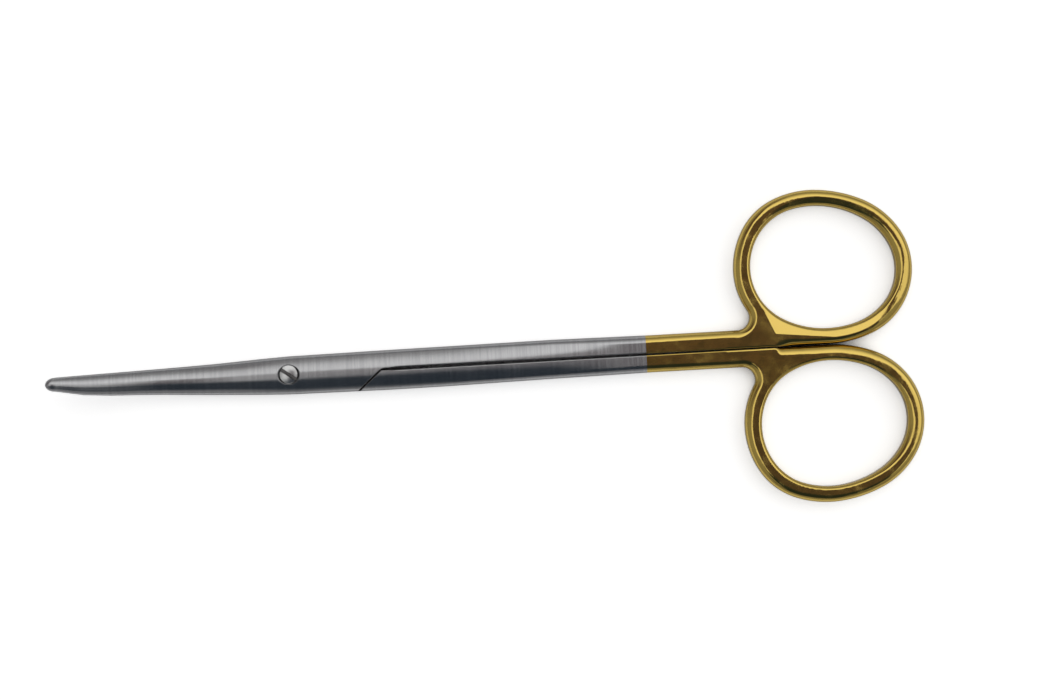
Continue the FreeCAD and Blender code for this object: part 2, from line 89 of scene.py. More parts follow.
# Rings and webs
RING_HALF = 1.7
RING_GAP = 0.12
RING_SQUARE = 0.0113
BAND_WIDTH = 2.72
BAND_ROUND = 1.25
NECK_RADIUS = 2.1
NECK_WIDTH = 6.2
NECK_OFFSET = 0.05
SHOULDER_START = 80.6
SHOULDER_SPREAD = 1.0
SEAM_RUN = 3
CREST_WIDTH = 1.25
LEFT_CREST_WIDTH = 1.35
LEFT_DIRECTION = 185
HOLE_WIDTH = 0.62
RIGHT_HOLE_WIDTH = 1.35
RIGHT_DIRECTION = 12
HOLE_DEPTH = 0.85
THUMB_RING = {
    "reach": 89.46, "length": 24.2, "width": 20.05, "tilt": -9.4, "egg": -0.039,
    "low_crest": 1.05, "wide_crest": 1.9, "shoulder_run": 3.5, "facet_slope": 0.19}
FINGER_RING = {
    "reach": 90.03, "length": 24.3, "width": 20.6, "tilt": -5.1, "egg": -0.058,
    "low_crest": 1.65, "wide_crest": 1.25, "shoulder_run": 1.3, "facet_slope": 0}

# The facet round the thumb ring's hole, and its ridge in the web
CROWN_FACET = BAND_WIDTH - CREST_WIDTH - 0.02
LEFT_FACET = 0.75
FACET_BLEND = 0.14
FACET_LEAST = 0.12
RIDGE_START = 212
RIDGE_END = 277
RIDGE_CORNER = -8.56 - 10.67j

# Turns round the ring, in degrees from its right side, over which a form comes in and goes out
WIDE_CREST_TURNS = ((-58, -38), (-12, 8))
CROWN_FACET_TURNS = ((15, 50), (115, 150))
WEB_FACET_TURNS = ((198, 226), (320, 336))

# Fineness of the skins
TIP_CUTS = [-39.3, -39.1, -38.8, -38.4, -38.0]
WALL_CUTS = (0.04, 0.08, 0.12, 0.16, 0.2)
CUT_TOLERANCE = 1e-8
SLIVER_AREA = 1e-15
RING_SPANS = 5
HOLE_SPANS = 6
SPACING = 0.10
GRID_SPACING = 0.22
EDGE_POINTS = 8
SEAM_POINTS = 14
RIM_LOOPS = (0, 9, 18, 28, 38, 49, 61)
FACET_LOOPS = (0.99, 0.5, 0)
RIM_CLEAR = 0.62
FACET_CLEAR = 0.15

# How near a corner lies to a smooth form when it takes that form's normal
FORM_ANGLE = 38
FORM_DISTANCE = 0.12
PARTING_DISTANCE = 0.02
PARTING_COSINE = 0.97
WALL_DEPTH = 1.05
WALL_START = LAP_REACH + 0.5


def smooth_column(rows, column, reach):
    """A column of rows of rising reach, on a smooth curve through them."""
    places = np.array([row[0] for row in rows])
    values = np.array([row[column] for row in rows])
    steps = np.diff(values) / np.diff(places)
    inner = np.where(steps[:-1] * steps[1:] > 0, (steps[:-1] + steps[1:]) / 2, 0)
    slopes = np.concatenate([steps[:1], inner, steps[-1:]])
    span = np.clip(np.searchsorted(places, reach) - 1, 0, len(places) - 2)
    run = places[span + 1] - places[span]
    share = (reach - places[span]) / run
    rise = values[span + 1] - values[span]
    start = slopes[span] * run - rise
    end = rise - slopes[span + 1] * run
    bow = share * (1 - share) * (start * (1 - share) + end * share)
    return values[span] + rise * share + bow


def section_table():
    """Half width, half height, middle line, half flank and corner share at even reaches."""
    reach = np.linspace(-TIP_REACH, NECK_REACH, TABLE_SIZE)
    body = np.clip(reach, PAIR_ROWS[0][0], LAP_REACH)
    shank_reaches = [row[0] for row in SHANK_ROWS]
    columns = []
    for column in range(1, len(PAIR_ROWS[0])):
        shank = np.interp(reach, shank_reaches, [row[column] for row in SHANK_ROWS])
        columns.append(np.where(reach < LAP_REACH, smooth_column(PAIR_ROWS, column, body), shank))
    width, thickness, middle, flank, share = columns
    nose = np.clip((PAIR_ROWS[0][0] - reach) / NOSE_LENGTH, 0, 1) * math.sin(NOSE_SWEEP)
    shrink = np.sqrt(1 - nose ** 2)
    return reach, width / 2 * shrink, thickness / 2 * shrink, middle, flank / 2 * shrink, share


TABLE = section_table()


def outer_distance(points):
    """Distance outside the closed pair's rounded form, for points between the tips and neck."""
    x, y, z = points.T
    centre_z = MID_HEIGHT + CURVE_RADIUS
    lean = np.arctan2(-(x + FLAT_RADIUS), centre_z - z)
    curved = x < -FLAT_RADIUS
    station = np.where(curved, -(FLAT_RADIUS + CURVE_RADIUS * np.sin(lean)), x)
    from_centre = np.hypot(x + FLAT_RADIUS, centre_z - z)
    height = np.where(curved, CURVE_RADIUS - from_centre, z - MID_HEIGHT)
    half_width, half_height, middle, flank, share = [
        np.interp(station, TABLE[0], column) for column in TABLE[1:]]
    across = np.abs(y - middle)
    up = np.abs(height)
    rise = half_height - flank
    corner = share * np.minimum(rise, half_width)
    run = half_width - corner
    crown_radius = (run ** 2 + rise ** 2 - corner ** 2) / (2 * (rise - corner))
    crown_z = half_height - crown_radius
    in_crown = across * (flank - crown_z) < run * (up - crown_z)
    to_crown = np.hypot(across, up - crown_z) - crown_radius
    to_corner = np.hypot(across - run, up - flank) - corner
    outside = np.where(in_crown, to_crown, to_corner)
    return np.where(up < flank, across - half_width, outside)


def outer_normals(points):
    """Outward normals of the rounded form, from the slopes of the distance to it."""
    step = 0.01
    slopes = []
    for axis in range(3):
        shift = np.zeros(3)
        shift[axis] = step
        slopes.append(outer_distance(points + shift) - outer_distance(points - shift))
    gradient = np.stack(slopes, axis=1)
    return gradient / np.linalg.norm(gradient, axis=1, keepdims=True)


def bowl_place(points):
    """Distance from the pivot axis, and how far out in the bowl that is, in curve radii."""
    radius = np.hypot(points[:, 0], points[:, 1])
    return radius, np.clip((radius - FLAT_RADIUS) / CURVE_RADIUS, 0, BOWL_LIMIT)


def parting_normals(points):
    """Upward normal of the parting surface: flat at the joint and a bowl under the blades."""
    radius, share = bowl_place(points)
    lean = np.where(points[:, 0] < 0, np.arcsin(share), 0)
    safe = np.maximum(radius, 0.01)
    return np.stack([-np.sin(lean) * points[:, 0] / safe, -np.sin(lean) * points[:, 1] / safe,
                     np.cos(lean)], axis=1)


def parting_height(points, clearance):
    """Height of the parting surface, moved up by a clearance."""
    _, share = bowl_place(points)
    rise = CURVE_RADIUS * (1 - np.sqrt(1 - share ** 2))
    return MID_HEIGHT + np.where(points[:, 0] < 0, rise, 0) + clearance


# The forged halves up to the neck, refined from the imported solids


def wall_gap(reach):
    """Width of the gap between the shanks' inner walls."""
    return np.interp(reach, [LAP_REACH, NECK_REACH], [WALL_GAP_AT_STEP, WALL_GAP_AT_NECK])


def cutting_planes(side):
    """Places and normals of close stations along the length, of planes beside the shank's wall
    edge and of planes along the shank where its section turns."""
    stations = TIP_CUTS + list(np.arange(-37.4, 17, 1.2))
    stations += list(np.arange(17.6, 57, 1.8)) + list(np.arange(57.2, NECK_REACH, 0.7))
    planes = [((station, 0, 0), (1, 0, 0)) for station in stations]
    lean = (WALL_GAP_AT_NECK - WALL_GAP_AT_STEP) / 2 / (NECK_REACH - LAP_REACH)
    for inset in WALL_CUTS:
        place = (LAP_REACH, side * (WALL_GAP_AT_STEP / 2 + inset), 0)
        planes.append((place, (-side * lean, 1, 0)))
    planes += [((0, side * reach, 0), (0, 1, 0)) for reach in np.arange(1.3, 2.9, 0.16)]
    return planes


def cut_fine(mesh, side):
    """Points and triangles of the solid's mesh up to the neck, cut finely."""
    form = bmesh.new()
    form.from_mesh(mesh)

    def cut(place, normal, **options):
        bmesh.ops.bisect_plane(
            form, geom=form.verts[:] + form.edges[:] + form.faces[:], dist=CUT_TOLERANCE,
            plane_co=place, plane_no=normal, **options)

    for place, normal in cutting_planes(side):
        cut(Vector(place) * MM, normal)
    cut((NECK_REACH * MM, 0, 0), (1, 0, 0), clear_outer=True)
    bmesh.ops.triangulate(form, faces=form.faces[:])
    slivers = [face for face in form.faces if face.calc_area() < SLIVER_AREA]
    bmesh.ops.delete(form, geom=slivers, context="FACES_ONLY")
    form.verts.index_update()
    points = np.array([vert.co[:] for vert in form.verts]) / MM
    faces = np.array([[vert.index for vert in face.verts] for face in form.faces])
    form.free()
    return points, faces


def flat_normals(points, faces):
    """Each triangle's own normal, not yet of unit length."""
    corners = points[faces]
    return np.cross(corners[:, 1] - corners[:, 0], corners[:, 2] - corners[:, 0])


def wall_normals(points, side):
    """Normals of a shank's inner wall and of the round along its edge, and how far in from the
    wall each point lies, in edge radii."""
    depth = (points[:, 1] * side - wall_gap(points[:, 0]) / 2) / WALL_ROUND
    facing_wall = 1 - np.clip(depth, 0, 1)
    normals = outer_normals(points) * np.sqrt(1 - facing_wall ** 2)[:, None]
    normals[:, 1] -= side * facing_wall
    return normals / np.linalg.norm(normals, axis=1, keepdims=True), depth


def corner_normals(points, faces, side):
    """One normal for each corner: the rounded form's, the wall's, the parting surface's or the
    flat face's."""
    flat = flat_normals(points, faces)
    flat /= np.maximum(np.linalg.norm(flat, axis=1, keepdims=True), 1e-12)
    normals = np.repeat(flat[:, None, :], 3, axis=1)
    rounded = outer_normals(points)[faces]
    distance = np.abs(outer_distance(points))[faces]
    follows = (rounded * normals).sum(axis=2) > math.cos(math.radians(FORM_ANGLE))
    near = (distance < FORM_DISTANCE).all(axis=1, keepdims=True)
    normals = np.where((follows & near)[:, :, None], rounded, normals)
    bowl = parting_normals(points)[faces]
    bowl *= np.sign(flat[:, None, 2:3])
    for clearance in (LAP_CLEARANCE, -LAP_CLEARANCE, BLADE_CLEARANCE, -BLADE_CLEARANCE):
        gap = np.abs(points[:, 2] - parting_height(points, clearance))[faces]
        inner = (gap < PARTING_DISTANCE).all(axis=1, keepdims=True)
        along = (bowl * flat[:, None, :]).sum(axis=2) > PARTING_COSINE
        normals = np.where((inner & along & ~near)[:, :, None], bowl, normals)
    wall, depth = wall_normals(points, side)
    on_shank = (points[faces][:, :, 0] > WALL_START).all(axis=1)
    on_wall = (depth[faces] < WALL_DEPTH).all(axis=1) & on_shank
    return np.where(on_wall[:, None, None], wall[faces], normals)


# Ring and web: points of the plan are complex numbers, and a turn is an angle in radians


def oval(ring, grow, turn):
    """The hole's egg-shaped outline, grown outward, about its own centre."""
    along = (np.cos(turn) - RING_SQUARE * np.cos(3 * turn)) / (1 - RING_SQUARE)
    across = (np.sin(turn) + RING_SQUARE * np.sin(3 * turn)) / (1 - RING_SQUARE)
    point = (ring["length"] / 2 + grow) * along
    point = point + 1j * (ring["width"] / 2 + grow) * across * (1 + ring["egg"] * along)
    return point * np.exp(1j * math.radians(ring["tilt"]))


def ring_centre(ring):
    turns = 2 * math.pi * np.arange(720) / 720
    return complex(ring["reach"], RING_GAP / 2 - oval(ring, BAND_WIDTH, turns).imag.min())


def oval_heading(ring, grow, turn):
    slope = oval(ring, grow, turn + 1e-4) - oval(ring, grow, turn - 1e-4)
    return slope / np.abs(slope)


def cross(first, second):
    return (first.conjugate() * second).imag


def dot(first, second):
    return (first.conjugate() * second).real


def root(function, low, high):
    """Where a function changes its sign, by halving."""
    low_sign = function(low) > 0
    for _ in range(60):
        middle = (low + high) / 2
        if (function(middle) > 0) == low_sign:
            low = middle
        else:
            high = middle
    return (low + high) / 2


def arc_points(start, heading, end, spacing):
    """Points along the arc that leaves start along heading, without its end."""
    chord = end - start
    lean = np.angle(heading / chord)
    centre = start - 1j * np.sign(lean) * heading * abs(chord) / (2 * math.sin(abs(lean)))
    count = max(2, int(abs(2 * lean) * abs(start - centre) / spacing))
    return centre + (start - centre) * np.exp(-2j * lean * np.arange(count) / count)


def oval_points(ring, grow, first, last, spans, spacing):
    """The oval as pairs of tangent arcs, as the solid has it, and its last point."""
    pieces = []
    centre = ring_centre(ring)
    turns = np.linspace(first, last, spans + 1)
    points = centre + oval(ring, grow, turns)
    headings = oval_heading(ring, grow, turns)
    for start, end, leave, arrive in zip(points, points[1:], headings, headings[1:]):
        run = end - start
        spread = 1 - dot(leave, arrive)
        reach = dot(run, leave + arrive)
        handle = (math.sqrt(reach ** 2 + 2 * spread * dot(run, run)) - reach) / (2 * spread)
        joint = (start + end + (leave - arrive) * handle) / 2
        pieces.append(arc_points(start, leave, joint, spacing))
        heading = (end - arrive * handle) - joint
        pieces.append(arc_points(joint, heading / abs(heading), end, spacing))
    return np.concatenate(pieces), points[-1], headings[-1]


def smooth_share(value, low, high):
    """From nothing at low to one at high, level at both ends."""
    share = np.clip((value - low) / (high - low), 0, 1)
    return share * share * (3 - 2 * share)


def between_turns(turn, rise, fall):
    """One between two ranges of turn in degrees, coming in over the first and going out over
    the second."""
    return smooth_share(turn, *rise) * (1 - smooth_share(turn, *fall))


def left_share(offset):
    """One on the ring's side that faces the shank, falling to nothing at its top and bottom."""
    facing_shank = np.cos(np.angle(offset) - math.radians(LEFT_DIRECTION))
    return np.maximum(facing_shank, 0) ** 1.3


def low_share(offset):
    """One at the ring's lowest point, falling to nothing at its left and right."""
    return np.maximum(-np.sin(np.angle(offset)), 0) ** 2


def outline_runs(ring, side, spacing):
    """Runs of the outline, end to end: the wall from its foot, the ring, the neck's round and
    the shank's edge."""
    centre = ring_centre(ring)
    outer_edge = NECK_WIDTH / 2 + NECK_OFFSET * side
    foot = complex(NECK_REACH, WALL_GAP_AT_NECK / 2)

    def touch(turn):
        run = centre + oval(ring, BAND_WIDTH, turn) - foot
        return cross(run, oval_heading(ring, BAND_WIDTH, turn))

    def neck_centre(turn):
        heading = oval_heading(ring, BAND_WIDTH, turn)
        return centre + oval(ring, BAND_WIDTH, turn) - 1j * heading * NECK_RADIUS

    def above_edge(turn):
        return neck_centre(turn).imag - outer_edge - NECK_RADIUS

    first = root(touch, -math.pi / 2 - 0.5, -math.pi / 2 + 0.6)
    last = root(above_edge, math.pi * 0.9, math.pi * 1.4)
    ring_run, end, heading = oval_points(ring, BAND_WIDTH, first, last, RING_SPANS, spacing)
    on_shank = complex(neck_centre(last).real, outer_edge)
    neck = arc_points(end, heading, on_shank, spacing * 0.7)
    wall_count = int(abs(ring_run[0] - foot) / spacing)
    wall = foot + (ring_run[0] - foot) * np.arange(wall_count) / wall_count
    edge_end = complex(NECK_REACH, outer_edge)
    edge = on_shank + (edge_end - on_shank) * np.linspace(0, 1, EDGE_POINTS)
    return wall, ring_run, neck, edge


def handle_outline(ring, side, spacing):
    """Points of the outline, with their inward normals and the width and depth of the rounding
    there."""
    wall, ring_run, neck, edge = outline_runs(ring, side, spacing)
    path = np.concatenate([wall, ring_run, neck, edge])
    after_wall = len(wall)
    slope = np.gradient(path)
    inward = 1j * slope / np.abs(slope)
    inward[0] = inward[1]
    inward[-1] = -1j

    growth = smooth_share(path.real, SHOULDER_START, SHOULDER_START + ring["shoulder_run"])
    growth[after_wall:] = 1
    depth = WALL_ROUND + (BAND_ROUND - WALL_ROUND) * growth

    spread = smooth_share(path.real, SHOULDER_START, SHOULDER_START + SHOULDER_SPREAD)
    spread[after_wall:] = 1
    offset = path - ring_centre(ring)
    left = left_share(offset)
    left[len(wall) + len(ring_run):] = 1
    turn = np.degrees(np.angle(offset))
    low = low_share(offset)
    crossing = between_turns(turn, *WIDE_CREST_TURNS) * (1 - left)
    crest = CREST_WIDTH + (LEFT_CREST_WIDTH - CREST_WIDTH) * left
    crest += (ring["low_crest"] - CREST_WIDTH) * low * (1 - left)
    crest += (ring["wide_crest"] - crest) * crossing
    to_seam = smooth_share(path.real[-len(edge):], NECK_REACH, NECK_REACH + SEAM_RUN)
    crest[-len(edge):] = BAND_ROUND + (crest[-len(edge):] - BAND_ROUND) * to_seam
    width = WALL_ROUND + (crest - WALL_ROUND) * spread
    return path, inward, depth, width


def nearest(points, path):
    """Index of the path's point that is nearest to each point, in blocks to save memory."""
    found = np.empty(len(points), int)
    for first in range(0, len(points), 2000):
        block = points[first:first + 2000]
        found[first:first + 2000] = np.abs(block[:, None] - path[None, :]).argmin(axis=1)
    return found


def inside(points, path):
    """Whether each point lies in the closed path."""
    result = np.zeros(len(points), bool)
    ends = np.roll(path, -1)
    for start, end in zip(path, ends):
        run = end - start
        if run.imag == 0:
            continue
        crosses = (start.imag > points.imag) != (end.imag > points.imag)
        at = start.real + (points.imag - start.imag) * run.real / run.imag
        result ^= crosses & (points.real < at)
    return result


def facet_drop(distance, width, slope):
    """Drop and slope of the hand-ground facet round the hole, at a distance from the hole."""
    along = np.clip(width - distance, 0, None)
    bent = np.minimum(along, FACET_BLEND)
    drop = slope * (bent ** 2 / (2 * FACET_BLEND) + (along - bent))
    return drop, slope * bent / FACET_BLEND


def rim_drop(distance, width, depth):
    """Drop and slope of a quarter oval at a distance from its edge."""
    share = np.clip(1 - distance / width, 0, 1)
    level = 1 - share ** 2
    drop = depth * (1 - np.sqrt(np.maximum(level, 0)))
    return drop, depth / width * share / np.sqrt(np.maximum(level, 1e-4))


class Handle:
    """The ring and its web as a height over the plan."""

    def __init__(self, ring, side):
        self.path, self.inward, self.depth, self.width = handle_outline(ring, side, SPACING)
        self.hole, _, _ = oval_points(ring, 0, 0, 2 * math.pi, HOLE_SPANS, SPACING)
        slope = np.roll(self.hole, -1) - np.roll(self.hole, 1)
        self.outward = -1j * slope / np.abs(slope)
        offset = self.hole - ring_centre(ring)
        facing_right = np.cos(np.angle(offset) - math.radians(RIGHT_DIRECTION))
        far = np.maximum(facing_right, 0) ** 5
        self.hole_width = HOLE_WIDTH + (RIGHT_HOLE_WIDTH - HOLE_WIDTH) * far
        turn = np.degrees(np.angle(offset)) % 360
        crown = between_turns(turn, *CROWN_FACET_TURNS)
        web = between_turns(turn, *WEB_FACET_TURNS)
        strength = FACET_LEAST + (1 - FACET_LEAST) * np.maximum(crown, web)
        self.facet_slope = ring["facet_slope"] * strength
        self.facet = self.facet_widths(ring)

    def facet_widths(self, ring):
        """How far the facet reaches from the hole: to a ridge with one corner in the web."""
        centre = ring_centre(ring)
        offset = self.hole - centre
        width = CROWN_FACET + (LEFT_FACET - CROWN_FACET) * left_share(offset)
        width += (CREST_WIDTH - ring["low_crest"]) * low_share(offset)
        turn = np.degrees(np.angle(offset)) % 360
        first = np.argmin(np.abs(turn - RIDGE_START))
        last = np.argmin(np.abs(turn - RIDGE_END))
        ridge = [self.hole[first] + self.outward[first] * width[first], centre + RIDGE_CORNER,
                 self.hole[last] + self.outward[last] * width[last]]
        for index in range(first, last + 1):
            reaches = []
            for start, end in zip(ridge, ridge[1:]):
                run = end - start
                across = cross(self.outward[index], run)
                reaches.append(cross(start - self.hole[index], run) / across)
            width[index] = min(reach for reach in reaches if reach > 0)
        return width

    def height(self, points):
        """Height above the middle plane and the normal of the upper surface."""
        on_path = nearest(points, self.path)
        on_hole = nearest(points, self.hole)
        outer = np.maximum(dot(self.inward[on_path], points - self.path[on_path]), 0)
        inner = np.maximum(dot(self.outward[on_hole], points - self.hole[on_hole]), 0)
        drop_out, slope_out = rim_drop(outer, self.width[on_path], self.depth[on_path])
        drop_in, slope_in = rim_drop(inner, self.hole_width[on_hole], HOLE_DEPTH)
        drop_facet, slope_facet = facet_drop(inner, self.facet[on_hole], self.facet_slope[on_hole])
        lean = slope_out * self.inward[on_path]
        lean = lean + (slope_in + slope_facet) * self.outward[on_hole]
        normal = np.stack([-lean.real, -lean.imag, np.ones(len(points))], axis=1)
        normal = normal / np.linalg.norm(normal, axis=1, keepdims=True)
        return RING_HALF - drop_out - drop_in - drop_facet, normal

    def loops(self):
        """Loops along both rims and the facet's edge, and whether each closes."""
        for turn in RIM_LOOPS:
            share = 1 - math.cos(math.radians(turn))
            yield self.path + self.inward * self.width * share, False
            yield self.hole + self.outward * self.hole_width * share, True
        for inset in FACET_LOOPS:
            yield self.hole + self.outward * (self.facet - FACET_BLEND * inset), True

    def grid(self):
        """Even inner points that are clear of the loops."""
        xs, ys = np.meshgrid(np.arange(NECK_REACH + 0.3, 105, GRID_SPACING),
                             np.arange(0, 27, GRID_SPACING))
        points = (xs + 1j * ys).ravel()
        points = points[inside(points, self.path) & ~inside(points, self.hole)]
        on_path = nearest(points, self.path)
        on_hole = nearest(points, self.hole)
        from_hole = np.abs(points - self.hole[on_hole])
        clear = np.abs(points - self.path[on_path]) > self.width[on_path] * RIM_CLEAR
        clear &= from_hole > self.hole_width[on_hole] * RIM_CLEAR
        clear &= np.abs(from_hole - self.facet[on_hole]) > FACET_CLEAR
        return points[clear]

    def plan(self):
        """Points and constraint edges of the plan: both rims' loops and the inner grid."""
        points = []
        edges = []

        def add(loop, closed):
            first = len(points)
            points.extend(loop)
            edges.extend((first + i, first + i + 1) for i in range(len(loop) - 1))
            if closed:
                edges.append((len(points) - 1, first))

        for loop, closed in self.loops():
            add(loop[::2] if closed else np.append(loop[:-1:2], loop[-1]), closed)
        seam = np.linspace(self.path[0].imag, self.path[-1].imag, SEAM_POINTS)
        add(NECK_REACH + 1j * seam, False)
        points.extend(self.grid())
        return points, edges

    def surface(self):
        """Upper surface: points, triangles and normals, in millimetres from the middle plane."""
        points, edges = self.plan()
        found = delaunay_2d_cdt([Vector((p.real, p.imag)) for p in points], edges, [], 0, 1e-5)
        plan = np.array([complex(v.x, v.y) for v in found[0]])
        faces = np.array([face for face in found[2] if len(face) == 3])
        middles = plan[faces].mean(axis=1)
        outline = np.append(self.path, complex(NECK_REACH, self.path[0].imag))
        faces = faces[inside(middles, outline) & ~inside(middles, self.hole)]
        height, normal = self.height(plan)
        return np.stack([plan.real, plan.imag, height], axis=1), faces, normal

    def side_wall(self, path, outward, closed):
        """Upright strip between the two rims."""
        count = len(path)
        upper = np.stack([path.real, path.imag, self.height(path)[0]], axis=1)
        lower = upper * (1, 1, -1)
        normal = np.stack([outward.real, outward.imag, np.zeros(count)], axis=1)
        steps = np.arange(count if closed else count - 1)
        after = (steps + 1) % count
        faces = np.concatenate([
            np.stack([steps, steps + count, after], axis=1),
            np.stack([after, steps + count, after + count], axis=1)])
        return np.concatenate([upper, lower]), faces, np.concatenate([normal, normal])

    def skin(self):
        """All of the ring and web, in parts: points, triangles and normals of each."""
        top, faces, normal = self.surface()
        return [(top, faces, normal),
                (top * (1, 1, -1), faces[:, ::-1], normal * (1, 1, -1)),
                self.side_wall(self.path, -self.inward, False),
                self.side_wall(self.hole, -self.outward, True)]


def facing(points, faces, normals):
    """The triangles, each turned so that it faces along its normal."""
    wrong = (flat_normals(points, faces) * normals).sum(axis=1) < 0
    faces = faces.copy()
    faces[wrong] = faces[wrong][:, ::-1]
    return faces


def build_half(name, ring, side):
    """One forged half: the solid's own mesh up to the neck, and the smooth ring and web."""
    points, faces = cut_fine(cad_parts[name].data, side)
    all_points = [points]
    all_faces = [faces]
    all_normals = [corner_normals(points, faces, side).reshape(-1, 3)]
    count = len(points)
    for part_points, part_faces, part_normals in Handle(ring, side).skin():
        part_points = part_points * (1, side, 1) + (0, 0, MID_HEIGHT)
        part_normals = part_normals * (1, side, 1)
        part_faces = facing(part_points, part_faces, part_normals[part_faces].mean(axis=1))
        all_points.append(part_points)
        all_faces.append(part_faces + count)
        all_normals.append(part_normals[part_faces].reshape(-1, 3))
        count += len(part_points)
    mesh = bpy.data.meshes.new(name + "_forging")
    mesh.from_pydata((np.concatenate(all_points) * MM).tolist(), [],
                     np.concatenate(all_faces).tolist())
    mesh.polygons.foreach_set("use_smooth", [True] * len(mesh.polygons))
    mesh.normals_split_custom_set(np.concatenate(all_normals).tolist())
    piece = bpy.data.objects.new(name + "_forging", mesh)
    scene.collection.objects.link(piece)
    return piece


# Materials: lengths are in metres, and a noise scale is per metre


def new_material(name):
    material = bpy.data.materials.new(name)
    material.use_nodes = True
    tree = material.node_tree
    return material, tree, tree.nodes["Principled BSDF"]


def node(tree, kind, **values):
    made = tree.nodes.new(kind)
    for key, value in values.items():
        setattr(made, key, value)
    return made


def link(tree, source, target):
    tree.links.new(source, target)


def math_node(tree, operation, *values):
    """A math node's result, of numbers and sockets."""
    made = node(tree, "ShaderNodeMath", operation=operation)
    for socket, value in zip(made.inputs, values):
        if isinstance(value, (int, float)):
            socket.default_value = value
        else:
            link(tree, value, socket)
    return made.outputs[0]


def smooth_step(tree, value, low, high):
    made = node(tree, "ShaderNodeMapRange", interpolation_type="SMOOTHSTEP")
    made.inputs["From Min"].default_value = low
    made.inputs["From Max"].default_value = high
    link(tree, value, made.inputs["Value"])
    return made.outputs["Result"]


def window(tree, value, low, high, soft):
    """One between low and high, falling off over the soft width at each end."""
    rise = smooth_step(tree, value, low - soft, low + soft)
    fall = smooth_step(tree, value, high + soft, high - soft)
    return math_node(tree, "MULTIPLY", rise, fall)


def mix_color(tree, share, first, second):
    made = node(tree, "ShaderNodeMix", data_type="RGBA")
    link(tree, share, made.inputs[0])
    for socket, value in ((6, first), (7, second)):
        if isinstance(value, tuple):
            made.inputs[socket].default_value = (*value, 1)
        else:
            link(tree, value, made.inputs[socket])
    return made.outputs[2]


def stretched_noise(tree, scale, detail, stretch=(1, 1, 1)):
    """Noise in the part's own frame. A low stretch draws it out along that axis."""
    place = node(tree, "ShaderNodeTexCoord")
    mapping = node(tree, "ShaderNodeMapping")
    mapping.inputs["Scale"].default_value = stretch
    noise = node(tree, "ShaderNodeTexNoise")
    noise.inputs["Scale"].default_value = scale
    noise.inputs["Detail"].default_value = detail
    link(tree, place.outputs["Object"], mapping.inputs["Vector"])
    link(tree, mapping.outputs["Vector"], noise.inputs["Vector"])
    return noise.outputs["Fac"]


def bump_node(tree, distance, height, normal=None):
    made = node(tree, "ShaderNodeBump")
    made.inputs["Distance"].default_value = distance
    link(tree, height, made.inputs["Height"])
    if normal is not None:
        link(tree, normal, made.inputs["Normal"])
    return made.outputs["Normal"]


# Painted shade in narrow gaps and recesses: the reach of its occlusion and its colour
CREVICE_SHADE_REACH = 0.0007
CREVICE_PAINTED_SHADE = (0.02, 0.018, 0.016)
STEEL_DARK = (0.365, 0.365, 0.375)
STEEL_BRIGHT = (0.415, 0.415, 0.425)
GOLD = (0.62, 0.445, 0.115)
EDGE_RADIUS = 0.00012
GRIND_DEPTH = 0.0000005
WAVE_DEPTH = 0.00014
POLISH_DEPTH = 0.000006


def crevice_painted_shade(tree, color, shader, low=0.12, high=0.62):
    """The metal's colour with painted shade: darkened by ambient occlusion in narrow gaps, slots
    and recesses.
    """
    close = node(tree, "ShaderNodeAmbientOcclusion", samples=6)
    close.inputs["Distance"].default_value = CREVICE_SHADE_REACH
    unshaded_share = smooth_step(tree, close.outputs["AO"], low, high)
    link(tree, mix_color(tree, unshaded_share, CREVICE_PAINTED_SHADE, color), shader.inputs["Base Color"])


def ground_steel(tree, steel):
    """Steel with fine lines across the length, whose reflections are drawn out along it."""
    steel.inputs["Metallic"].default_value = 1
    steel.inputs["Anisotropic"].default_value = 0.7
    along = node(tree, "ShaderNodeVectorTransform", vector_type="VECTOR",
                 convert_from="OBJECT", convert_to="WORLD")
    along.inputs[0].default_value = (1, 0, 0)
    link(tree, along.outputs[0], steel.inputs["Tangent"])
    grind = stretched_noise(tree, 4200, 2, (1, 0.03, 0.03))
    lines = smooth_step(tree, grind, 0.3, 0.7)
    # Painted shade darkens the ground lines' colour in gaps such as the slot between the shanks
    crevice_painted_shade(tree, mix_color(tree, lines, STEEL_DARK, STEEL_BRIGHT), steel, 0.35, 0.95)
    cloud = stretched_noise(tree, 220, 4)
    rough = math_node(tree, "MULTIPLY_ADD", grind, 0.05, 0.175)
    rough = math_node(tree, "MULTIPLY_ADD", cloud, 0.06, rough)
    link(tree, rough, steel.inputs["Roughness"])
    edge = node(tree, "ShaderNodeBevel", samples=4)
    edge.inputs["Radius"].default_value = EDGE_RADIUS
    normal = bump_node(tree, GRIND_DEPTH, lines, edge.outputs["Normal"])
    link(tree, normal, steel.inputs["Normal"])


def gold_plating(tree):
    """Polished plating with slight waves and a slight mottling."""
    gold = node(tree, "ShaderNodeBsdfPrincipled")
    # Painted shade darkens the gold's colour in gaps and recesses
    crevice_painted_shade(tree, GOLD, gold)
    gold.inputs["Metallic"].default_value = 1
    handled = smooth_step(tree, stretched_noise(tree, 420, 5), 0.35, 0.75)
    rough = math_node(tree, "MULTIPLY_ADD", handled, 0.13, 0.07)
    link(tree, rough, gold.inputs["Roughness"])
    broad = bump_node(tree, WAVE_DEPTH, stretched_noise(tree, 230, 2))
    fine = bump_node(tree, POLISH_DEPTH, stretched_noise(tree, 2600, 3), broad)
    link(tree, fine, gold.inputs["Normal"])
    return gold


